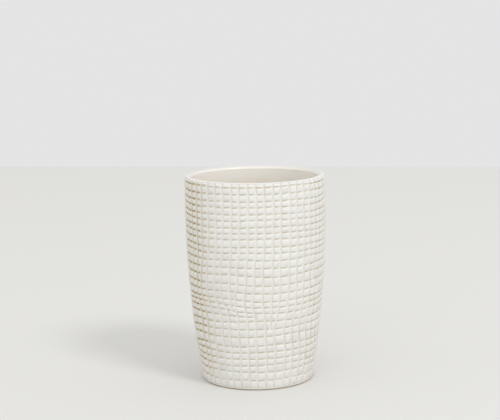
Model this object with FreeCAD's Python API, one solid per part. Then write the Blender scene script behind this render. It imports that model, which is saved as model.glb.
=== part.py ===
# Bathroom tumbler: a stoneware cup with a glazed lining, standing on soft bumper feet.
#
# The cup is turned about +Z and the origin is the middle of its standing plane, so +Z is up.
# Its wall is one long arc that swells from the foot to the belly and closes in again at the rim.
# Every other turned face is concentric with that arc, so the wall has an even thickness.
# A grid of grooves, level rows and upright columns, is pressed into the outside of the wall.
# All sizes are in millimetres.

import FreeCAD, Part
import math
import os

# Outside of the cup
HEIGHT = 110.0            # standing plane to rim crest
BELLY_DIAMETER = 75.0     # widest diameter
BELLY_HEIGHT = 92.0       # height of the widest place
FOOT_DRAW_IN = 7.5        # how far the foot is drawn in from the belly, on the radius
FOOT_EDGE_RADIUS = 0.8    # rounding where the wall turns under

# Wall and inside
WALL = 3.6                # finished wall, lining included; the rim is a full round of this width
FLOOR = 6.0               # foot ring to inside floor, lining included
INSIDE_CORNER_RADIUS = 7.0
LINING = 0.4              # fired thickness of the glaze inside

# Grid of grooves in the outside of the wall, each a V
GROOVE_WIDTH = 0.9
GROOVE_DEPTH = 0.5
ROW_PITCH = 5.6           # wanted distance between level grooves
COLUMN_PITCH = 5.6        # wanted distance between upright grooves at the belly
LOWEST_ROW = 4.2          # lowest level groove above the foot
HIGHEST_ROW = 2.6         # highest level groove under the rim crest

# Underside
FOOT_RING_WIDTH = 4.5     # from the foot's outer corner to the recess
RECESS_DEPTH = 1.55

# Bumper feet and the adhesive discs that hold them in the recess
BUMPER_COUNT = 4
BUMPER_DIAMETER = 9.0
BUMPER_HEIGHT = 1.6
BUMPER_EDGE_RADIUS = 0.5
BUMPER_CLEARANCE = 1.5    # from a bumper to the recess wall
ADHESIVE = 0.2            # thickness of an adhesive disc
ADHESIVE_INSET = 0.4      # how far a disc stays inside its bumper's edge

# Heights that follow from the sizes above
recess_z = BUMPER_HEIGHT + ADHESIVE
foot_z = recess_z - RECESS_DEPTH
floor_z = foot_z + FLOOR

# The outside wall is an arc about a far centre, level with the belly
belly_radius = BELLY_DIAMETER / 2
foot_radius = belly_radius - FOOT_DRAW_IN
belly_rise = BELLY_HEIGHT - foot_z
outside_arc = (belly_rise ** 2 + FOOT_DRAW_IN ** 2) / (2 * FOOT_DRAW_IN)
centre_r = belly_radius - outside_arc
inside_arc = outside_arc - WALL
clay_arc = inside_arc + LINING

# The direction, seen from the arcs' centre, in which the wall ends and the round rim starts
rim_radius = WALL / 2
rim_angle = math.asin((HEIGHT - rim_radius - BELLY_HEIGHT) / (outside_arc - rim_radius))

# The rows are spread evenly between the lowest and the highest, the columns evenly all round
lowest_row = foot_z + LOWEST_ROW
row_count = 1 + round((HEIGHT - HIGHEST_ROW - lowest_row) / ROW_PITCH)
row_step = (HEIGHT - HIGHEST_ROW - lowest_row) / (row_count - 1)
column_count = round(math.pi * BELLY_DIAMETER / COLUMN_PITCH)

recess_radius = foot_radius - FOOT_RING_WIDTH
bumper_radius = BUMPER_DIAMETER / 2
bumper_circle = recess_radius - BUMPER_CLEARANCE - bumper_radius

AXIS_FOOT = FreeCAD.Vector(0, 0, 0)
AXIS_UP = FreeCAD.Vector(0, 0, 1)


def at(radius, height):
    """A point of a section: its distance from the cup's axis and its height."""
    return FreeCAD.Vector(radius, 0, height)


def wall_point(arc, angle):
    """The point of a wall arc in a direction seen from the arcs' centre."""
    return at(centre_r + arc * math.cos(angle), BELLY_HEIGHT + arc * math.sin(angle))


def corner(arc, level, fillet):
    """A rounded corner between a wall arc and a level line: the line's end, a middle point,
    the wall's end, and the direction in which the wall ends."""
    rise = level + fillet - BELLY_HEIGHT
    angle = math.asin(rise / (arc - fillet))
    middle = at(centre_r + (arc - fillet) * math.cos(angle), level + fillet)
    half_way = (angle - math.pi / 2) / 2
    halfway_point = middle + at(fillet * math.cos(half_way), fillet * math.sin(half_way))
    return at(middle.x, level), halfway_point, wall_point(arc, angle), angle


def line(start, end):
    return Part.LineSegment(start, end).toShape()


def arc_through(start, middle, end):
    return Part.Arc(start, middle, end).toShape()


def wall_edge(arc, low, high):
    """The stretch of a wall arc between two directions, drawn upwards."""
    return arc_through(wall_point(arc, low), wall_point(arc, (low + high) / 2), wall_point(arc, high))


def turned(edges):
    """The solid that a closed section makes when it is turned about the cup's axis."""
    section = Part.Face(Part.Wire(Part.__sortEdges__(edges)))
    return section.revolve(AXIS_FOOT, AXIS_UP, 360)


def rim_round():
    """The full round of the rim, from the outside wall over the crest to the inside wall."""
    start = wall_point(outside_arc, rim_angle)
    end = wall_point(inside_arc, rim_angle)
    middle = (start + end) * 0.5
    outward = at(-math.sin(rim_angle), math.cos(rim_angle))
    return arc_through(start, middle + outward * rim_radius, end)


def grooved_wall(low, high):
    """The edges of the outside wall between two directions, with a V at the height of each row."""
    edges = []
    half = GROOVE_WIDTH / 2 / outside_arc
    for row in range(row_count):
        angle = math.asin((lowest_row + row * row_step - BELLY_HEIGHT) / outside_arc)
        bottom = wall_point(outside_arc - GROOVE_DEPTH, angle)
        edges.append(wall_edge(outside_arc, low, angle - half))
        edges.append(line(wall_point(outside_arc, angle - half), bottom))
        edges.append(line(bottom, wall_point(outside_arc, angle + half)))
        low = angle + half
    edges.append(wall_edge(outside_arc, low, high))
    return edges


def column_groove(number):
    """What an upright groove takes away: a V carried along the wall's arc, past the foot and the rim."""
    low = math.asin((0 - BELLY_HEIGHT) / outside_arc)
    high = math.asin((HEIGHT - BELLY_HEIGHT) / outside_arc)
    bottom = wall_point(outside_arc - GROOVE_DEPTH, low)
    top = wall_point(outside_arc + GROOVE_DEPTH, low)
    aside = FreeCAD.Vector(0, GROOVE_WIDTH, 0)
    section = Part.Face(Part.makePolygon([bottom, top + aside, top - aside, bottom]))
    groove = section.revolve(at(centre_r, BELLY_HEIGHT), FreeCAD.Vector(0, -1, 0), math.degrees(high - low))
    groove.rotate(AXIS_FOOT, AXIS_UP, 360 * (number + 0.5) / column_count)
    return groove


def stoneware_body():
    """The fired cup: recessed foot, swelling grooved wall, round rim and a seat for the lining."""
    foot_line, foot_round, foot_wall, foot_angle = corner(outside_arc, foot_z, FOOT_EDGE_RADIUS)
    seat_line, seat_round, seat_wall, seat_angle = corner(
        clay_arc, floor_z - LINING, INSIDE_CORNER_RADIUS + LINING)
    cup = turned(grooved_wall(foot_angle, rim_angle) + [
        line(at(0, recess_z), at(recess_radius, recess_z)),
        line(at(recess_radius, recess_z), at(recess_radius, foot_z)),
        line(at(recess_radius, foot_z), foot_line),
        arc_through(foot_line, foot_round, foot_wall),
        rim_round(),
        line(wall_point(inside_arc, rim_angle), wall_point(clay_arc, rim_angle)),
        wall_edge(clay_arc, seat_angle, rim_angle),
        arc_through(seat_line, seat_round, seat_wall),
        line(seat_line, at(0, floor_z - LINING)),
        line(at(0, floor_z - LINING), at(0, recess_z)),
    ])
    return cup.cut([column_groove(number) for number in range(column_count)])


def glaze_lining():
    """The gloss glaze fired on inside, from just under the rim down the wall and over the floor."""
    seat_line, seat_round, seat_wall, seat_angle = corner(
        clay_arc, floor_z - LINING, INSIDE_CORNER_RADIUS + LINING)
    floor_line, floor_round, floor_wall, floor_angle = corner(
        inside_arc, floor_z, INSIDE_CORNER_RADIUS)
    return turned([
        line(at(0, floor_z - LINING), seat_line),
        arc_through(seat_line, seat_round, seat_wall),
        wall_edge(clay_arc, seat_angle, rim_angle),
        line(wall_point(clay_arc, rim_angle), wall_point(inside_arc, rim_angle)),
        wall_edge(inside_arc, floor_angle, rim_angle),
        arc_through(floor_line, floor_round, floor_wall),
        line(floor_line, at(0, floor_z)),
        line(at(0, floor_z), at(0, floor_z - LINING)),
    ])


def bumper_foot():
    """One bumper on the cup's axis: a soft button with a flat tread and a rounded lower edge."""
    tread = bumper_radius - BUMPER_EDGE_RADIUS
    edge_in = BUMPER_EDGE_RADIUS * (1 - math.sqrt(0.5))
    return turned([
        line(at(0, 0), at(tread, 0)),
        arc_through(at(tread, 0), at(bumper_radius - edge_in, edge_in),
                    at(bumper_radius, BUMPER_EDGE_RADIUS)),
        line(at(bumper_radius, BUMPER_EDGE_RADIUS), at(bumper_radius, BUMPER_HEIGHT)),
        line(at(bumper_radius, BUMPER_HEIGHT), at(0, BUMPER_HEIGHT)),
        line(at(0, BUMPER_HEIGHT), at(0, 0)),
    ])


def adhesive_disc():
    """One adhesive disc on the cup's axis, between a bumper and the roof of the recess."""
    return Part.makeCylinder(bumper_radius - ADHESIVE_INSET, ADHESIVE, at(0, BUMPER_HEIGHT))


def on_bumper_circle(shape, number):
    """A copy of a foot piece at its place on the bumper circle, between the X and Y axes."""
    angle = 2 * math.pi * (number + 0.5) / BUMPER_COUNT
    place = FreeCAD.Vector(bumper_circle * math.cos(angle), bumper_circle * math.sin(angle), 0)
    return shape.translated(place)


def save(name, shape):
    """Writes one piece, after testing that it is one closed solid."""
    if not shape.isValid() or len(shape.Solids) != 1:
        raise ValueError(name + " is not one valid solid")
    shape.Solids[0].exportStep(os.path.join("parts", name + ".step"))
    box = shape.BoundBox
    print("%-18s %8.1f mm3, z %.2f to %.2f, width %.2f"
          % (name, shape.Volume, box.ZMin, box.ZMax, box.XLength))


os.makedirs("parts", exist_ok=True)
save("stoneware_body", stoneware_body())
save("glaze_lining", glaze_lining())
for number in range(BUMPER_COUNT):
    save("bumper_foot_%d" % (number + 1), on_bumper_circle(bumper_foot(), number))
    save("adhesive_disc_%d" % (number + 1), on_bumper_circle(adhesive_disc(), number))
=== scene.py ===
# %% [markdown]
# # A bathroom tumbler with a woven-grid relief
#
# The cup is off-white stoneware. While the clay was soft, a loose net was pressed into it all round,
# so the outside is a field of small raised pads, with channels between them where the threads lay.
# The rim is smooth and the inside has a gloss glaze. The construction model holds the true sizes and
# an even grid of grooves. This lesson models the wandering net in that grid's place, and the finishes.

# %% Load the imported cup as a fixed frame
import math
import random

import bpy
from mathutils import Matrix, Vector


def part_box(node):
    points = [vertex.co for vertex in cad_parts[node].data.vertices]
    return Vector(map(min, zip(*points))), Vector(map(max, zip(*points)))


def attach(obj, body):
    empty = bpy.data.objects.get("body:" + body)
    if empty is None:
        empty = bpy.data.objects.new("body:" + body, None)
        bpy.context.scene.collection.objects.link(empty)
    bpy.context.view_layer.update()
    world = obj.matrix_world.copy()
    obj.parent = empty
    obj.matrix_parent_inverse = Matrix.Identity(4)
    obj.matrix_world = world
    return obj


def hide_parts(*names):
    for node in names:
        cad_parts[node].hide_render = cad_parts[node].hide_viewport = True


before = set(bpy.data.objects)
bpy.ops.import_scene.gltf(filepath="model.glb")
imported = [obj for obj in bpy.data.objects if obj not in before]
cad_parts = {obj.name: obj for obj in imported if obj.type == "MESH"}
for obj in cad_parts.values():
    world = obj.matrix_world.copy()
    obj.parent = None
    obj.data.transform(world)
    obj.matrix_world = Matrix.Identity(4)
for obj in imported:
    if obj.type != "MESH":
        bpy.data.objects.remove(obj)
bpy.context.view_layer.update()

print("construction nodes:", sorted(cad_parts))

# %% [markdown]
# ## The turned wall as a formula
#
# The wall is one long arc that swells from the foot to the belly and closes in at the rim, which is a
# full round. A lathe would follow a template for this. Here a function gives the radius at each
# height, and everything that lies on the wall asks it, so relief, rim and foot always meet.

# %% The wall's sizes, in metres
MM = 0.001
body_low, body_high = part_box("stoneware_body")
disc_low, disc_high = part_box("adhesive_disc_1")

RIM_CREST = body_high.z
FOOT_PLANE = body_low.z
RECESS_ROOF = disc_high.z
BELLY_RADIUS = 37.5 * MM
BELLY_HEIGHT = 92.0 * MM
FOOT_DRAW_IN = 7.5 * MM
WALL = 3.6 * MM
LINING = 0.4 * MM
FLOOR = 6.0 * MM
INSIDE_CORNER = 7.0 * MM
FOOT_RING = 4.5 * MM

ARC = ((BELLY_HEIGHT - FOOT_PLANE) ** 2 + FOOT_DRAW_IN ** 2) / (2 * FOOT_DRAW_IN)
ARC_CENTRE = BELLY_RADIUS - ARC
RIM_ROUND = WALL / 2
RIM_LEVEL = RIM_CREST - RIM_ROUND
print("arc of the wall in mm:", round(ARC / MM, 1))

# %% The wall's radius at a height


def wall_radius(height, inwards=0.0):
    """Radius of the wall's outer face at a height, or of a concentric face further in."""
    return ARC_CENTRE + math.sqrt((ARC - inwards) ** 2 - (height - BELLY_HEIGHT) ** 2)


RIM_MIDDLE = wall_radius(RIM_LEVEL, RIM_ROUND)


def outside_radius(height):
    """Radius of the outside at a height: the wall, and above it the round of the rim."""
    if height <= RIM_LEVEL:
        return wall_radius(height)
    return RIM_MIDDLE + math.sqrt(max(RIM_ROUND ** 2 - (height - RIM_LEVEL) ** 2, 0.0))


print("radius at foot, belly and rim in mm:",
      [round(outside_radius(height) / MM, 2) for height in (FOOT_PLANE, BELLY_HEIGHT, RIM_LEVEL)])

# %% [markdown]
# ## Working as by hand
#
# Edit mode tools act on what is selected. By hand one clicks on faces and edges. A script picks them
# by a test on their place instead. One helper clears the selection, picks what passes the test and
# goes into edit mode, and another carries a loop of edges on through rings of new radii and heights,
# which is how the rim, the inside and the foot are drawn out of the relief's edges.

# %% Helpers for edit mode
KINDS = ("VERT", "EDGE", "FACE")


def deselect_all():
    if bpy.context.object and bpy.context.object.mode == "EDIT":
        bpy.ops.object.mode_set(mode="OBJECT")
    bpy.ops.object.select_all(action="DESELECT")


def pick(piece, kind, test):
    """Goes into edit mode on a piece with just the elements of one kind that pass a test selected."""
    deselect_all()
    piece.select_set(True)
    bpy.context.view_layer.objects.active = piece
    mesh = piece.data
    groups = dict(zip(KINDS, (mesh.vertices, mesh.edges, mesh.polygons)))
    for group in groups.values():
        group.foreach_set("select", [False] * len(group))
    wanted = [test(element) for element in groups[kind]]
    groups[kind].foreach_set("select", wanted)
    bpy.context.tool_settings.mesh_select_mode = [kind == name for name in KINDS]
    bpy.ops.object.mode_set(mode="EDIT")
    return sum(wanted)


def carry_loop(start, rings):
    """Extrudes the selected loop, a circle about the axis, from its (radius, height) through others."""
    radius, height = start
    for next_radius, next_height in rings:
        bpy.ops.mesh.extrude_region_move(
            TRANSFORM_OT_translate={"value": (0, 0, next_height - height)})
        share = next_radius / radius
        bpy.ops.transform.resize(value=(share, share, 1), center_override=(0, 0, next_height))
        radius, height = next_radius, next_height


print("kinds of element to pick from:", KINDS)

# %% [markdown]
# ## The net
#
# The threads of a loose net are never quite level or evenly spaced. The cloth was pulled about as a
# whole, so neighbouring lines wander together, and each thread also strays a little by itself. Where
# the cup gets narrower two columns run into one, and a few rows do so too. Waves with random phases
# from a fixed seed give the wandering, and a short list gives the forks.

# %% Rows and columns
COLUMNS = 52
# Row heights in millimetres from the foot up, before they are spread over the wall
ROW_HEIGHTS = [4.2, 4.5, 3.5, 3.5, 3.5, 3.5, 5.0, 4.0, 4.0, 4.5, 3.5, 3.0, 3.0, 4.0, 4.0, 4.5, 4.0, 4.0,
               3.5, 3.0, 4.0, 3.0, 3.0, 3.5, 3.0, 3.5, 3.0, 3.5, 3.5]
ROWS = len(ROW_HEIGHTS) + 1
NET_LOW = FOOT_PLANE + 0.4 * MM
TOP_GROOVE = 107.4 * MM
NET_HIGH = 109.6 * MM
# Widths round the cup are measured on this radius
GIRTH_RADIUS = 35.0 * MM
# A column line that forks is missing below this height
COLUMN_FORKS = {3: 62 * MM, 9: 28 * MM, 13: 50 * MM, 23: 45 * MM, 28: 36 * MM, 34: 58 * MM,
                40: 24 * MM, 47: 46 * MM}
FORK_REACH = 16 * MM
FORK_EARLY = 0.25
# A row line that forks is missing between these directions, in degrees
ROW_FORKS = {10: (-4, 143), 18: (110, 170), 5: (-170, -95)}
ROW_FORK_REACH = 30 * MM
ROW_FORK_EARLY = 0.15
print("net:", COLUMNS, "columns at the rim,", COLUMNS - len(COLUMN_FORKS), "at the foot,", ROWS, "rows")

# %% How far the threads stray
NET_SEED = 11
COLUMN_SPREAD = 0.14
PULL_UP = 0.40 * MM
PULL_ASIDE = 0.30 * MM
STRAY = 0.18 * MM
JITTER = 0.12 * MM
net = random.Random(NET_SEED)


def waves(count, periods, climbs=(0,)):
    """A smooth random wave over a direction and a share of the height, about 1 in size."""
    parts = [(net.choice(periods), net.choice(climbs), net.uniform(0, 2 * math.pi)) for _ in range(count)]

    def wave(angle, share=0.0):
        return sum(math.sin(turns * angle + 2 * math.pi * climb * share + start)
                   for turns, climb, start in parts) / math.sqrt(count)
    return wave


pull_up = waves(5, (1, 2, 3, 4), (-2, -1, 1, 2))
pull_aside = waves(5, (1, 2, 3), (-2, -1.5, -1, 1, 1.5, 2))
row_strays = [waves(2, (3, 4, 5, 6, 7)) for _ in range(ROWS)]
column_strays = [waves(2, (0,), (1, 1.6, 2.3, 3.1)) for _ in range(COLUMNS)]
column_widths = [1 + COLUMN_SPREAD * net.uniform(-1, 1) for _ in range(COLUMNS)]
jitters = {(column, row): (net.uniform(-JITTER, JITTER), net.uniform(-JITTER, JITTER))
           for column in range(COLUMNS) for row in range(1, ROWS)}
print("column widths from", round(min(column_widths), 2), "to", round(max(column_widths), 2))

# %% How wide a column and how tall a row is


def ease(value):
    """A smooth rise from 0 to 1 as the value goes from 0 to 1."""
    value = min(max(value, 0.0), 1.0)
    return value * value * (3 - 2 * value)


def ramp(value, start, end):
    """0 at the start, 1 at the end and an eased change between; the end may be the lower one."""
    return ease((value - start) / (end - start))


def column_share(column, height):
    """How much of its width a column keeps: half where it has run into its neighbour."""
    for line, fork in COLUMN_FORKS.items():
        if column in (line - 1, line):
            return 0.5 + 0.5 * ease((height - fork) / FORK_REACH + FORK_EARLY)
    return 1.0


def row_share(row, angle):
    """How much of its height a row keeps: half where it has run into its neighbour."""
    for line, (start, end) in ROW_FORKS.items():
        if row in (line - 1, line):
            apart = abs((math.degrees(angle) - (start + end) / 2 + 180) % 360 - 180)
            outside = math.radians(apart - (end - start) / 2) * GIRTH_RADIUS
            return 0.5 + 0.5 * ease(outside / ROW_FORK_REACH + ROW_FORK_EARLY)
    return 1.0


print("share of column 3 kept at the foot and the rim:", column_share(3, 0.0), column_share(3, RIM_CREST))

# %% Where the lines run and cross
SAG = 1.8 * MM
SAG_DIRECTION = -0.8
SAG_WIDTH = 0.42
SAG_MIDDLE = 0.6
SAG_TALL = 0.2


def row_line(line, angle):
    """Height of a groove of the net in a direction: line 0 is at the foot, the last is on the rim."""
    if line == ROWS:
        return NET_HIGH
    sizes = [size * row_share(row, angle) for row, size in enumerate(ROW_HEIGHTS)]
    share = sum(sizes[:line]) / sum(sizes)
    slack = math.sin(math.pi * share) ** 0.5
    aside = (angle - SAG_DIRECTION) / SAG_WIDTH
    above = (share - SAG_MIDDLE) / SAG_TALL
    sag = SAG * math.exp(-aside ** 2 - above ** 2)
    pull = PULL_UP * pull_up(angle, share) * slack
    stray = STRAY * row_strays[line](angle) * min(line, 1)
    return NET_LOW + (TOP_GROOVE - NET_LOW) * share + (pull + stray - sag)


def column_line(line, height):
    """Direction of a column's left edge at a height; direction 0 is the front, and the seam is behind."""
    sizes = [size * column_share(column, height) for column, size in enumerate(column_widths)]
    angle = 2 * math.pi * sum(sizes[:line]) / sum(sizes) - math.pi
    share = height / RIM_CREST
    wander = PULL_ASIDE * pull_aside(angle, share) + STRAY * column_strays[line % COLUMNS](0, share)
    return angle + wander / GIRTH_RADIUS


def crossing(column, row):
    """Direction and height where a column's left edge crosses a row's lower edge."""
    angle = 2 * math.pi * column / COLUMNS - math.pi
    for _ in range(3):
        height = row_line(row, angle)
        angle = column_line(column, height)
    aside, up = jitters.get((column % COLUMNS, row), (0.0, 0.0))
    return angle + aside / GIRTH_RADIUS, height + up


crossings = {(column, row): crossing(column, row)
             for column in range(COLUMNS + 1) for row in range(ROWS + 1)}
print("crossings:", len(crossings))

# %% [markdown]
# ## The relief, modelled flat
#
# A pattern that goes all round is easiest to model unrolled, like the net before it is pressed on.
# A grid gives one face for each pad, with two more points along each stretch of a row's channel. The
# points are moved to the net's crossings and the edges that the forks lose are dissolved. A row's
# channel is a row of pits, deepest at their left ends, and the columns cross it as raised strips. At
# the cup's two sides the net was pressed in harder, so the pits go deeper there, and on the left the
# strips do too.

# %% A grid with a face for each pad
STEPS = 3
deselect_all()
bpy.ops.mesh.primitive_grid_add(x_subdivisions=COLUMNS * STEPS, y_subdivisions=ROWS, size=1)
relief = bpy.context.object
relief.name = "relief_body"
place = {}
for vertex in relief.data.vertices:
    step = round((vertex.co.x + 0.5) * COLUMNS * STEPS)
    place[vertex.index] = (step, round((vertex.co.y + 0.5) * ROWS))
print("grid points:", len(place))

# %% How deep the net is pressed, as shares of the relief
RELIEF = 0.58 * MM
PIT_START = 0.75 * MM
PIT_STOP = 1.6 * MM
PIT_SHARE = 0.44
PIT_UNEVEN = 0.2
PIT_TAIL = 0.36
PIT_TAIL_DEEPER = 0.4
STRIP_RISE = 0.45
STRIP_UNEVEN = 0.14
TOP_STRIP_RISE = 0.25
FOOT_RISE = 1.0
FOOT_SOFT = 16 * MM
FOOT_SOFTER = 0.3
TOP_RISE = 0.92
# Side (-1 is left), then degrees from the front where it starts, is full, wanes and ends, then depth
PIT_PRESSED = [(-1, 32, 64, 78, 140, 0.5), (1, 40, 66, 80, 140, 0.6)]
STRIP_PRESSED = [(-1, 34, 62, 76, 140, 0.6)]
PRESSED_WIDER = 1.35


def pressed(angle, places):
    """How much deeper the net was pressed in a direction, as a share of the relief."""
    total = 0.0
    for side, start, full, waning, end, depth in places:
        turn = side * math.degrees(angle)
        total += depth * ramp(turn, start, full) * ramp(turn, end, waning)
    return total


pits = {(column, row): net.uniform(0, PIT_UNEVEN) for column in range(COLUMNS) for row in range(ROWS + 1)}
strips = {(column, row): STRIP_RISE + net.uniform(-STRIP_UNEVEN, STRIP_UNEVEN)
          for column in range(COLUMNS) for row in range(ROWS + 1)}
print("pits:", len(pits), "strips:", len(strips))

# %% Direction, height and rise of each point of the net
net_points = {}
for step, row in place.values():
    column, part = divmod(step, STEPS)
    angle, height = crossings[column, row]
    if part:
        next_angle, next_height = crossings[column + 1, row]
        width = (next_angle - angle) * GIRTH_RADIUS
        wider = 1 + PRESSED_WIDER * pressed(angle, STRIP_PRESSED)
        share = min(PIT_START * wider / width, PIT_SHARE)
        if part == 2:
            share = 1 - min(PIT_STOP / width, PIT_SHARE)
        angle += (next_angle - angle) * share
        height += (next_height - height) * share
        deeper = pressed(angle, PIT_PRESSED)
        rise = pits[column, row] - deeper + (PIT_TAIL + PIT_TAIL_DEEPER * deeper) * (part - 1)
    else:
        rise = strips[column % COLUMNS, row] - pressed(angle, STRIP_PRESSED)
        if row == ROWS - 1:
            rise = min(rise, TOP_STRIP_RISE)
    rise += FOOT_SOFTER * ease(1 - height / FOOT_SOFT)
    if row == 0:
        rise = FOOT_RISE
    if row == ROWS:
        rise = TOP_RISE
    net_points[step, row] = (angle, height, rise)
print("lowest point of the net:", round(min(rise for angle, height, rise in net_points.values()), 2))

# %% Lay the grid on the net and lose what the forks lose
SQUEEZE = 0.72


def between_columns(edge):
    """True for an upright edge of the grid that is no line of the net."""
    (step, row), (next_step, next_row) = [place[index] for index in edge.vertices]
    return step == next_step and step % STEPS != 0


def lost_to_fork(edge):
    """True for an edge of the net that is missing because its line has run into its neighbour."""
    (step, row), (next_step, next_row) = [place[index] for index in edge.vertices]
    if step == next_step:
        upper = max(net_points[step, row][1], net_points[next_step, next_row][1])
        return upper < COLUMN_FORKS.get(step // STEPS, 0.0)
    start, end = ROW_FORKS.get(row, (0, 0))
    column = min(step, next_step) // STEPS
    sides = [math.degrees(crossings[line, row][0]) for line in (column, column + 1)]
    return start < min(sides) and max(sides) < end


for vertex in relief.data.vertices:
    angle, height, rise = net_points[place[vertex.index]]
    vertex.co = (angle * GIRTH_RADIUS * SQUEEZE, height, RELIEF * rise)
pick(relief, "EDGE", between_columns)
bpy.ops.mesh.dissolve_edges(use_verts=False)
bpy.ops.object.mode_set(mode="OBJECT")
lost = pick(relief, "EDGE", lost_to_fork)
bpy.ops.mesh.dissolve_edges(use_verts=True)
bpy.ops.object.mode_set(mode="OBJECT")
pad_count = len(relief.data.polygons)
print("pads:", pad_count, "edges lost to forks:", lost)

# %% [markdown]
# ## The pads
#
# Each face is inset by half a channel and raised, and three more insets give it a rounded edge and a
# crown. Subdivision would round it too, but with four times the faces. The first inset also leans
# the pads up, so that their lower sides are soft and their upper sides steep. The sheet is narrower
# than the real girth, so one inset gives wider channels between columns than between rows, as the
# real cup has. The net's own points are laid flat meanwhile, because an inset follows the surface.

# %% Inset and raise the pads, group by group
PAD_LOOPS = [(0.40 * MM, 0.52), (0.10 * MM, 0.82), (0.10 * MM, 0.97), (0.08 * MM, 1.04)]
LEAN_RIGHT = -0.05 * MM
LEAN_UP = 0.24 * MM
PAD_GROUPS = 5
PAD_DROP = 0.03 * MM
HARD_STEPS = 4
PAD_UNEVEN = 0.05 * MM
UNEVEN_OUTWARDS = 0.6

groove_floor = [vertex.co.z for vertex in relief.data.vertices]
for vertex in relief.data.vertices:
    vertex.co.z = 0.0
pad_groups = []
for face in relief.data.polygons:
    hard = pressed(face.center.x / (GIRTH_RADIUS * SQUEEZE), STRIP_PRESSED)
    pad_groups.append((net.randrange(PAD_GROUPS), round(hard * HARD_STEPS) / HARD_STEPS))
for group in sorted(set(pad_groups)):
    number, hard = group
    raised = RELIEF - PAD_DROP * number
    pick(relief, "FACE", lambda face: face.index < pad_count and pad_groups[face.index] == group)
    risen = 0.0
    for width, level in PAD_LOOPS:
        first = risen == 0.0
        if first:
            width *= 1 + PRESSED_WIDER * hard
        bpy.ops.mesh.inset(thickness=width, depth=raised * (level - risen), use_individual=True,
                           use_even_offset=False)
        if first:
            bpy.ops.transform.translate(value=(LEAN_RIGHT, LEAN_UP, 0))
        risen = level
bpy.ops.object.mode_set(mode="OBJECT")
for vertex, floor_height in zip(relief.data.vertices, groove_floor):
    vertex.co.z = floor_height
pick(relief, "FACE", lambda face: face.index < pad_count)
bpy.ops.transform.vertex_random(offset=PAD_UNEVEN, uniform=0.0, normal=UNEVEN_OUTWARDS, seed=NET_SEED)
bpy.ops.object.mode_set(mode="OBJECT")
print("groups of pads:", len(set(pad_groups)), "flat faces:", len(relief.data.polygons))

# %% [markdown]
# ## Rolling the relief round the cup
#
# The flat sheet's width becomes the direction round the cup, its height stays, and its relief is
# measured inwards from the wall's radius, so the pads' tops lie on the wall that the construction
# model has. A Simple Deform modifier could roll a plain sheet, but not onto a swelling wall. The two
# ends meet at the back and are merged.

# %% Roll and close
MERGE = 0.01 * MM
TOP_OF_PADS = RELIEF * PAD_LOOPS[-1][1]
for vertex in relief.data.vertices:
    angle = vertex.co.x / (GIRTH_RADIUS * SQUEEZE)
    height = vertex.co.y
    radius = outside_radius(height) - TOP_OF_PADS + vertex.co.z
    if height > NET_HIGH - MERGE:
        radius = outside_radius(height)
    vertex.co = (radius * math.sin(angle), -radius * math.cos(angle), height)
pick(relief, "VERT", lambda vertex: True)
bpy.ops.mesh.remove_doubles(threshold=MERGE)
bpy.ops.object.mode_set(mode="OBJECT")
print("relief faces:", len(relief.data.polygons))

# %% [markdown]
# ## Rim, inside and foot
#
# The relief's upper edge is carried over the full round of the rim, then down the inside, a lining's
# thickness behind the glaze. Its lower edge is carried under to the foot ring and into the recess.
# The last small loops are filled, so the cup is one closed wall of real thickness.

# %% Draw the rim and the seat of the lining out of the relief
RIM_STEPS = 12
WALL_STEPS = 8
CORNER_STEPS = 5
CENTRE_HOLE = 2.0 * MM


def on_edge(height):
    """A test for the edges of an open border at a height."""
    points = relief.data.vertices
    return lambda edge: all(abs(points[index].co.z - height) < MERGE for index in edge.vertices)


start_angle = math.asin((NET_HIGH - RIM_LEVEL) / RIM_ROUND)
rings = []
for step in range(1, RIM_STEPS + 1):
    angle = start_angle + (math.pi - start_angle) * step / RIM_STEPS
    rings.append((RIM_MIDDLE + RIM_ROUND * math.cos(angle), RIM_LEVEL + RIM_ROUND * math.sin(angle)))
floor_level = FOOT_PLANE + FLOOR - LINING
corner = INSIDE_CORNER + LINING
corner_level = floor_level + corner
seat_arc = ARC - WALL + LINING
corner_middle = ARC_CENTRE + math.sqrt((seat_arc - corner) ** 2 - (corner_level - BELLY_HEIGHT) ** 2)
for step in range(WALL_STEPS + 1):
    height = RIM_LEVEL + (corner_level - RIM_LEVEL) * step / WALL_STEPS
    rings.append((wall_radius(height, WALL - LINING), height))
for step in range(1, CORNER_STEPS + 1):
    angle = -0.5 * math.pi * step / CORNER_STEPS
    rings.append((corner_middle + corner * math.cos(angle), corner_level + corner * math.sin(angle)))
rings.append((CENTRE_HOLE, floor_level))
pick(relief, "EDGE", on_edge(NET_HIGH))
carry_loop((outside_radius(NET_HIGH), NET_HIGH), rings)
bpy.ops.mesh.edge_face_add()
print("rings over the rim and down the inside:", len(rings))

# %% Draw the foot out of the relief and close the cup
FOOT_INSET = 0.12 * MM
FOOT_CHAMFER = 0.15 * MM
SMOOTH_UNDER = math.radians(50)

foot_start = outside_radius(NET_LOW) - TOP_OF_PADS + RELIEF * FOOT_RISE
recess_radius = wall_radius(FOOT_PLANE) - FOOT_RING
pick(relief, "EDGE", on_edge(NET_LOW))
carry_loop((foot_start, NET_LOW), [
    (foot_start - FOOT_INSET / 2, FOOT_PLANE + FOOT_CHAMFER),
    (foot_start - 2 * FOOT_INSET, FOOT_PLANE),
    (recess_radius, FOOT_PLANE),
    (recess_radius, RECESS_ROOF),
    (CENTRE_HOLE, RECESS_ROOF),
])
bpy.ops.mesh.edge_face_add()
pick(relief, "FACE", lambda face: True)
bpy.ops.mesh.normals_make_consistent(inside=False)
bpy.ops.object.mode_set(mode="OBJECT")
bpy.ops.object.shade_smooth_by_angle(angle=SMOOTH_UNDER)
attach(relief, "root")
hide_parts("stoneware_body")
print("body triangles:", sum(len(face.vertices) - 2 for face in relief.data.polygons))

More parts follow.
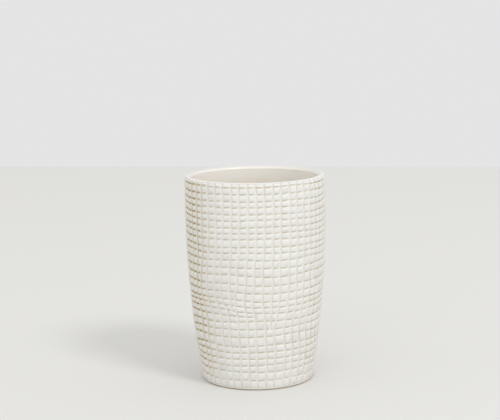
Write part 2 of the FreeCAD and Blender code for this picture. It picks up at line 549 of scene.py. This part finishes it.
# %% [markdown]
# ## Marks for the glaze
# Glaze runs off edges and gathers in hollows, and is wiped off the foot. A shader can't easily tell a
# channel from a pad, but the mesh knows, so three numbers are kept on each point for the finish to
# read: how strongly a channel is tinted, how far a point lies over the rim, and how bare the clay is.
# The channel tint is partly glaze pooled in the deep channels and partly painted shade, stronger on
# walls that face down or to the left and over the cup's left side.

# %% Three numbers on each point
# Painted shade: walls facing down or to the left, and the cup's left side, get more channel tint
UNDER_PAINTED_SHADE = 0.85
LEFT_FACING_PAINTED_SHADE = 0.5
PAINTED_SHADE_GAIN = 1.6
CHANNEL_FLOOR_POOL_AND_SHADE = (0.5, 0.8)
LEFT_SIDE_SHADE_DEPTHS = (0.1, 0.5)
LEFT_SIDE_PAINTED_SHADE = 0.3
GLAZE_TURNS = [(math.radians(75), math.radians(115)), (math.radians(115), math.radians(165))]
# A brown line along the foot's lower edge, tinted like the bare clay
FOOT_LINE = 0.45


def channel_tint_and_painted_shade(point, radius):
    """From 0 on the pads to about 1 in the deepest channels: partly pooled glaze, partly painted shade that
    is stronger on walls facing down or left and on the cup's left side.
    """
    if radius <= wall_radius(point.co.z, WALL / 2) or point.co.z >= NET_HIGH:
        return 0.0
    depth = (outside_radius(point.co.z) - radius) / TOP_OF_PADS
    rightwards = Vector((-point.co.y, point.co.x, 0)).normalized().dot(point.normal)
    # Painted shade on walls that face down and to the left
    facing_shade = -UNDER_PAINTED_SHADE * point.normal.z - LEFT_FACING_PAINTED_SHADE * rightwards
    hard = pressed(math.atan2(point.co.x, -point.co.y), STRIP_PRESSED)
    tinted_share = max(ease(facing_shade * PAINTED_SHADE_GAIN), ramp(depth, *CHANNEL_FLOOR_POOL_AND_SHADE), hard * ramp(depth, *LEFT_SIDE_SHADE_DEPTHS))
    return min(max(depth / 2 * (1 + LEFT_SIDE_PAINTED_SHADE * hard), 0.0), 1.0) * tinted_share


def over_the_rim(point, radius):
    """0 on the outside, 1 on the crest of the rim and 2 where the lining starts."""
    if point.co.z <= RIM_LEVEL - MERGE:
        return 0.0
    turned = math.atan2(max(point.co.z - RIM_LEVEL, 0.0), radius - RIM_MIDDLE)
    return sum(ramp(turned, start, end) for start, end in GLAZE_TURNS)


def bareness(point, radius):
    """1 under the foot and in its recess, and less on a brown line along the foot's lower edge."""
    in_recess = radius < recess_radius + MERGE and point.co.z < floor_level
    if point.co.z < NET_LOW - MERGE or in_recess:
        return 1.0
    return FOOT_LINE if point.co.z < NET_LOW + MERGE else 0.0


for name, measure in (("groove", channel_tint_and_painted_shade), ("bare_clay", bareness), ("glazed", over_the_rim)):
    values = [measure(point, math.hypot(point.co.x, point.co.y)) for point in relief.data.vertices]
    relief.data.attributes.new(name, "FLOAT", "POINT").data.foreach_set("value", values)
    print(name, "is above 0 on", sum(value > 0 for value in values), "of", len(values), "points")

# %% [markdown]
# ## Writing shader sums as expressions
#
# A material is a small circuit. Drawing it node by node is slow to read, so one class wraps a socket
# and turns + - * into Math nodes, and one method makes any other node from its type, its settings
# and what goes into its sockets.

# %% A socket that can be reckoned with


class Signal:
    """An output socket of a finish; sums on it add Math nodes."""

    def __init__(self, finish, socket):
        self.finish = finish
        self.socket = socket

    def maths(self, operation, first, second):
        return self.finish.node("ShaderNodeMath", {"operation": operation}, {0: first, 1: second})["Value"]

    def __add__(self, other):
        return self.maths("ADD", self, other)

    def __sub__(self, other):
        return self.maths("SUBTRACT", self, other)

    def __rsub__(self, other):
        return self.maths("SUBTRACT", other, self)

    def __mul__(self, other):
        return self.maths("MULTIPLY", self, other)

    __radd__ = __add__
    __rmul__ = __mul__


class Made:
    """A node of a finish; its outputs are read by name or number."""

    def __init__(self, finish, shader):
        self.finish = finish
        self.shader = shader

    def __getitem__(self, output):
        return Signal(self.finish, self.shader.outputs[output])


# %% A finish: a material under construction


class Finish:
    """A material that reads Object coordinates, with a Principled BSDF at its end."""

    def __init__(self, name):
        self.material = bpy.data.materials.new(name)
        self.material.use_nodes = True
        self.tree = self.material.node_tree
        self.tree.nodes.clear()
        self.place = self.node("ShaderNodeTexCoord")["Object"]

    def node(self, kind, settings=None, inputs=None):
        made = self.tree.nodes.new(kind)
        for name, value in (settings or {}).items():
            setattr(made, name, value)
        for socket, value in (inputs or {}).items():
            if isinstance(value, Signal):
                self.tree.links.new(value.socket, made.inputs[socket])
            else:
                made.inputs[socket].default_value = value
        return Made(self, made)

    def mark(self, name):
        """A number that was kept on the points of the mesh."""
        return self.node("ShaderNodeAttribute", {"attribute_name": name})["Fac"]

    def noise(self, grain, detail=2.0):
        """A soft random field from 0 to 1 with blotches of a size in metres."""
        return self.node("ShaderNodeTexNoise", {},
                         {"Vector": self.place, "Scale": 1 / grain, "Detail": detail})["Fac"]

    def fade(self, signal, start, end):
        """0 below start, 1 above end and a smooth rise between."""
        return self.node("ShaderNodeMapRange", {"interpolation_type": "SMOOTHSTEP"},
                         {"Value": signal, "From Min": start, "From Max": end})["Result"]

    def blend(self, share, first, second):
        """A colour that goes from the first to the second as the share goes from 0 to 1."""
        return self.node("ShaderNodeMix", {"data_type": "RGBA"}, {0: share, 6: first, 7: second})[2]

    def bump(self, height, depth):
        return self.node("ShaderNodeBump", {}, {"Height": height, "Distance": depth})["Normal"]

    def close(self, inputs):
        surface = self.node("ShaderNodeBsdfPrincipled", {}, inputs)["BSDF"]
        self.node("ShaderNodeOutputMaterial", {}, {"Surface": surface})
        print(self.material.name, "has", len(self.tree.nodes), "nodes")
        return self.material


# %% [markdown]
# ## Satin stoneware
#
# The outside is a satin off-white that goes tan in the channels, and brown in the deepest of them:
# partly pooled glaze and partly painted shade, stronger under the pads and on the cup's left side.
# It goes creamier and glossier over the rim, where it meets the lining's glaze. The darker cream on the
# crest is partly the glaze's break and partly painted shade, and the pale inner half is painted light.
# A few iron specks burnt through it, and it has a fine grain. Under the foot the clay is bare: browner,
# rougher and sandy. A painted texture would need a UV map, so the colours follow the marks on the
# points instead.

# %% The outside finish
PAD_WHITE = (0.80, 0.793, 0.768, 1)
PAD_CREAM = (0.79, 0.777, 0.745, 1)
# Channel tan and brown: partly pooled glaze, partly painted shade in the channels
CHANNEL_TAN_AND_SHADE = (0.675, 0.60, 0.475, 1)
CHANNEL_BROWN_AND_SHADE = (0.27, 0.19, 0.08, 1)
# Rim cream: partly the glaze's warmer break, partly painted shade against the light on the crest
RIM_CREAM_AND_SHADE = (0.71, 0.694, 0.653, 1)
# Pale glaze: painted light on the rim's inner half and the lining's upper part
GLAZE_PALE_PAINTED_LIGHT = (0.90, 0.872, 0.83, 1)
BARE_CLAY = (0.40, 0.315, 0.205, 1)
CLAY_SAND = (0.53, 0.45, 0.335, 1)
SPECK_BROWN = (0.16, 0.10, 0.055, 1)
CLOUD_SIZE = 14 * MM
GRAIN_SIZE = 0.45 * MM
RIPPLE_SIZE = 2.5 * MM
SPECK_APART = 5 * MM
GRAIN_DEPTH = 0.02 * MM


def satin_stoneware():
    finish = Finish("satin_stoneware")
    tint_and_shade = finish.mark("groove")
    under = finish.mark("bare_clay")
    glazed = finish.mark("glazed")
    cloud = finish.noise(CLOUD_SIZE)
    grain = finish.noise(GRAIN_SIZE, 3.0)
    # The channel tint, partly pooled glaze and partly painted shade
    pooled_and_shaded = finish.fade(tint_and_shade, 0.03, 0.40)
    deep = finish.fade(tint_and_shade, 0.42, 0.74)
    colour = finish.blend(finish.fade(cloud, 0.35, 0.65), PAD_WHITE, PAD_CREAM)
    colour = finish.blend(pooled_and_shaded, colour, CHANNEL_TAN_AND_SHADE)
    colour = finish.blend(deep, colour, CHANNEL_BROWN_AND_SHADE)
    clay = finish.blend(finish.fade(grain * 0.6 + cloud * 0.4, 0.38, 0.62), BARE_CLAY, CLAY_SAND)
    colour = finish.blend(under, colour, clay)
    # Painted shade on the rim's crest, then painted light on its inner half
    colour = finish.blend(finish.fade(glazed, 0, 1), colour, RIM_CREAM_AND_SHADE)
    colour = finish.blend(finish.fade(glazed, 1, 2), colour, GLAZE_PALE_PAINTED_LIGHT)
    cell = finish.node("ShaderNodeTexVoronoi", {}, {"Vector": finish.place, "Scale": 1 / SPECK_APART})
    draw = finish.node("ShaderNodeSeparateColor", {}, {"Color": cell["Color"]})["Red"]
    speck = (1 - finish.fade(cell["Distance"], 0.04, 0.075)) * finish.fade(draw, 0.90, 0.93)
    colour = finish.blend(speck, colour, SPECK_BROWN)
    return finish.close({
        "Base Color": colour,
        "Roughness": 0.46 + grain * 0.12 + pooled_and_shaded * 0.12 + under * 0.3 - glazed * 0.15,
        "Normal": finish.bump(grain + finish.noise(RIPPLE_SIZE) * 2.0, GRAIN_DEPTH),
        "IOR": 1.5,
    })


relief.data.materials.clear()
relief.data.materials.append(satin_stoneware())

# %% [markdown]
# ## Gloss lining, bumpers and adhesive
#
# These keep the construction model's own meshes, whose shapes are right, and only get finishes: a
# warm gloss glaze with a slow ripple that turns paler near the rim, a painted light on its upper part,
# milky soft rubber with a fine haze, and a cloudy adhesive film. The same colours in one flat tone
# would look like plastic.

# %% The lining's finish
GLAZE_CREAM = (0.80, 0.745, 0.665, 1)
GLAZE_WARM = (0.78, 0.72, 0.635, 1)
LINING_LIGHT_REACH = 14 * MM
GLAZE_CLOUD = 11 * MM
GLAZE_RIPPLE = 7 * MM


def gloss_glaze():
    finish = Finish("gloss_glaze")
    cloud = finish.noise(GLAZE_CLOUD)
    height = finish.node("ShaderNodeSeparateXYZ", {}, {"Vector": finish.place})["Z"]
    colour = finish.blend(finish.fade(cloud, 0.35, 0.65), GLAZE_CREAM, GLAZE_WARM)
    # Painted light: the lining turns paler towards the rim
    colour = finish.blend(finish.fade(height, RIM_LEVEL - LINING_LIGHT_REACH, RIM_LEVEL), colour, GLAZE_PALE_PAINTED_LIGHT)
    return finish.close({
        "Base Color": colour,
        "Roughness": 0.13 + cloud * 0.06,
        "Normal": finish.bump(finish.noise(GLAZE_RIPPLE, 0.0), 0.03 * MM),
        "IOR": 1.52,
    })


# %% The bumpers' and the adhesive's finishes
RUBBER_MILK = (0.62, 0.62, 0.60, 1)
RUBBER_HAZE = (0.70, 0.70, 0.68, 1)
FILM_CLEAR = (0.66, 0.66, 0.62, 1)
FILM_CLOUD = (0.74, 0.74, 0.70, 1)
HAZE_SIZE = 1.2 * MM
FILM_CLOUD_SIZE = 0.9 * MM


def soft_rubber():
    finish = Finish("bumper_rubber")
    haze = finish.noise(HAZE_SIZE, 3.0)
    return finish.close({
        "Base Color": finish.blend(haze, RUBBER_MILK, RUBBER_HAZE),
        "Roughness": 0.42 + haze * 0.16,
        "Normal": finish.bump(haze, 0.01 * MM),
        "IOR": 1.45,
    })


def adhesive_film():
    finish = Finish("clear_adhesive")
    cloud = finish.noise(FILM_CLOUD_SIZE, 3.0)
    return finish.close({
        "Base Color": finish.blend(cloud, FILM_CLEAR, FILM_CLOUD),
        "Roughness": 0.2 + cloud * 0.2,
        "IOR": 1.47,
    })


finishes = {"glaze_lining": gloss_glaze(), "bumper_foot": soft_rubber(), "adhesive_disc": adhesive_film()}
for name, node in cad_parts.items():
    for start, material in finishes.items():
        if name.startswith(start):
            node.data.materials.clear()
            node.data.materials.append(material)
print("finishes:", sorted(finishes))

# %% [markdown]
# ## Floor, light and camera
#
# A pale floor ends well behind the cup. A soft key lamp stands in front, above and to the right, a
# wide dim one fills from the left in front, and a low one at the far left lifts that side. With an
# even sky they give the gentle shading that shows a shallow relief, where one hard lamp would draw
# every pad in black. The sky is one plain tone to the camera and to gloss. The camera stands where
# the photograph was taken.

# %% Floor
FLOOR_PALE = (0.725, 0.722, 0.704, 1)
FLOOR_BOUNCE = (0.60, 0.59, 0.56, 1)
FLOOR_WIDTH = 12.0
FLOOR_BACK = 0.88
FLOOR_YAW = math.radians(-7.8)
deselect_all()
bpy.ops.mesh.primitive_plane_add(size=FLOOR_WIDTH, location=(0, FLOOR_BACK - FLOOR_WIDTH / 2, 0))
floor = bpy.context.object
floor.name = "floor"
floor.data.transform(Matrix.Translation(floor.location))
floor.data.transform(Matrix.Rotation(FLOOR_YAW, 4, "Z"))
floor.location = (0, 0, 0)
floor_finish = Finish("pale_floor")
to_camera = floor_finish.node("ShaderNodeLightPath")["Is Camera Ray"]
floor_colour = floor_finish.blend(to_camera, FLOOR_BOUNCE, FLOOR_PALE)
floor.data.materials.append(floor_finish.close({"Base Color": floor_colour, "Roughness": 0.6}))

# %% Lamps
CUP_MIDDLE = Vector((0, 0, RIM_CREST / 2))


def soft_lamp(name, azimuth, elevation, distance, size, power):
    """A square soft box that looks at the cup; azimuth 0 is in front, positive to the right."""
    across = math.radians(azimuth)
    up = math.radians(elevation)
    away = Vector((math.sin(across) * math.cos(up), -math.cos(across) * math.cos(up), math.sin(up)))
    light = bpy.data.lights.new(name, "AREA")
    light.size = size
    light.energy = power
    lamp = bpy.data.objects.new(name, light)
    bpy.context.scene.collection.objects.link(lamp)
    lamp.location = CUP_MIDDLE + away * distance
    lamp.rotation_euler = away.to_track_quat("Z", "Y").to_euler()
    print(name, "lamp:", power, "W from", azimuth, "degrees across and", elevation, "up")


soft_lamp("key", 42, 44, 4.0, 1.0, 48)
soft_lamp("fill", -20, 25, 4.0, 3.0, 16)
soft_lamp("card", -72, 8, 4.0, 2.0, 8)

# %% Sky
SKY_LIGHT = (0.86, 0.857, 0.845, 1)
SKY_SEEN = (0.78, 0.78, 0.78, 1)
world = bpy.data.worlds.new("even_sky")
world.use_nodes = True
tree = world.node_tree
sky = tree.nodes["Background"]
sky.inputs["Color"].default_value = SKY_LIGHT
seen = tree.nodes.new("ShaderNodeBackground")
seen.inputs["Color"].default_value = SKY_SEEN
path = tree.nodes.new("ShaderNodeLightPath")
direct = tree.nodes.new("ShaderNodeMath")
direct.operation = "MAXIMUM"
choice = tree.nodes.new("ShaderNodeMixShader")
tree.links.new(path.outputs["Is Camera Ray"], direct.inputs[0])
tree.links.new(path.outputs["Is Glossy Ray"], direct.inputs[1])
tree.links.new(direct.outputs[0], choice.inputs[0])
tree.links.new(sky.outputs[0], choice.inputs[1])
tree.links.new(seen.outputs[0], choice.inputs[2])
tree.links.new(choice.outputs[0], tree.nodes["World Output"].inputs["Surface"])
bpy.context.scene.world = world
print("sky nodes:", len(tree.nodes))

# %% Camera
PHOTO_WIDTH = 500
FOCAL_PIXELS = 1328
SENSOR = 36.0
CAMERA_PLACE = (-2.8 * MM, -699 * MM, 203.4 * MM)
CAMERA_DOWN = math.radians(9.17)
CAMERA_ROLL = math.radians(-1.0)
lens = bpy.data.cameras.new("camera")
lens.sensor_fit = "HORIZONTAL"
lens.sensor_width = SENSOR
lens.lens = FOCAL_PIXELS / PHOTO_WIDTH * SENSOR
camera = bpy.data.objects.new("camera", lens)
bpy.context.scene.collection.objects.link(camera)
turn = Matrix.Rotation(math.pi / 2 - CAMERA_DOWN, 4, "X") @ Matrix.Rotation(CAMERA_ROLL, 4, "Z")
camera.matrix_world = Matrix.Translation(CAMERA_PLACE) @ turn
bpy.context.scene.camera = camera
bpy.context.scene.view_settings.view_transform = "Standard"
print("focal length in mm:", round(lens.lens, 1))
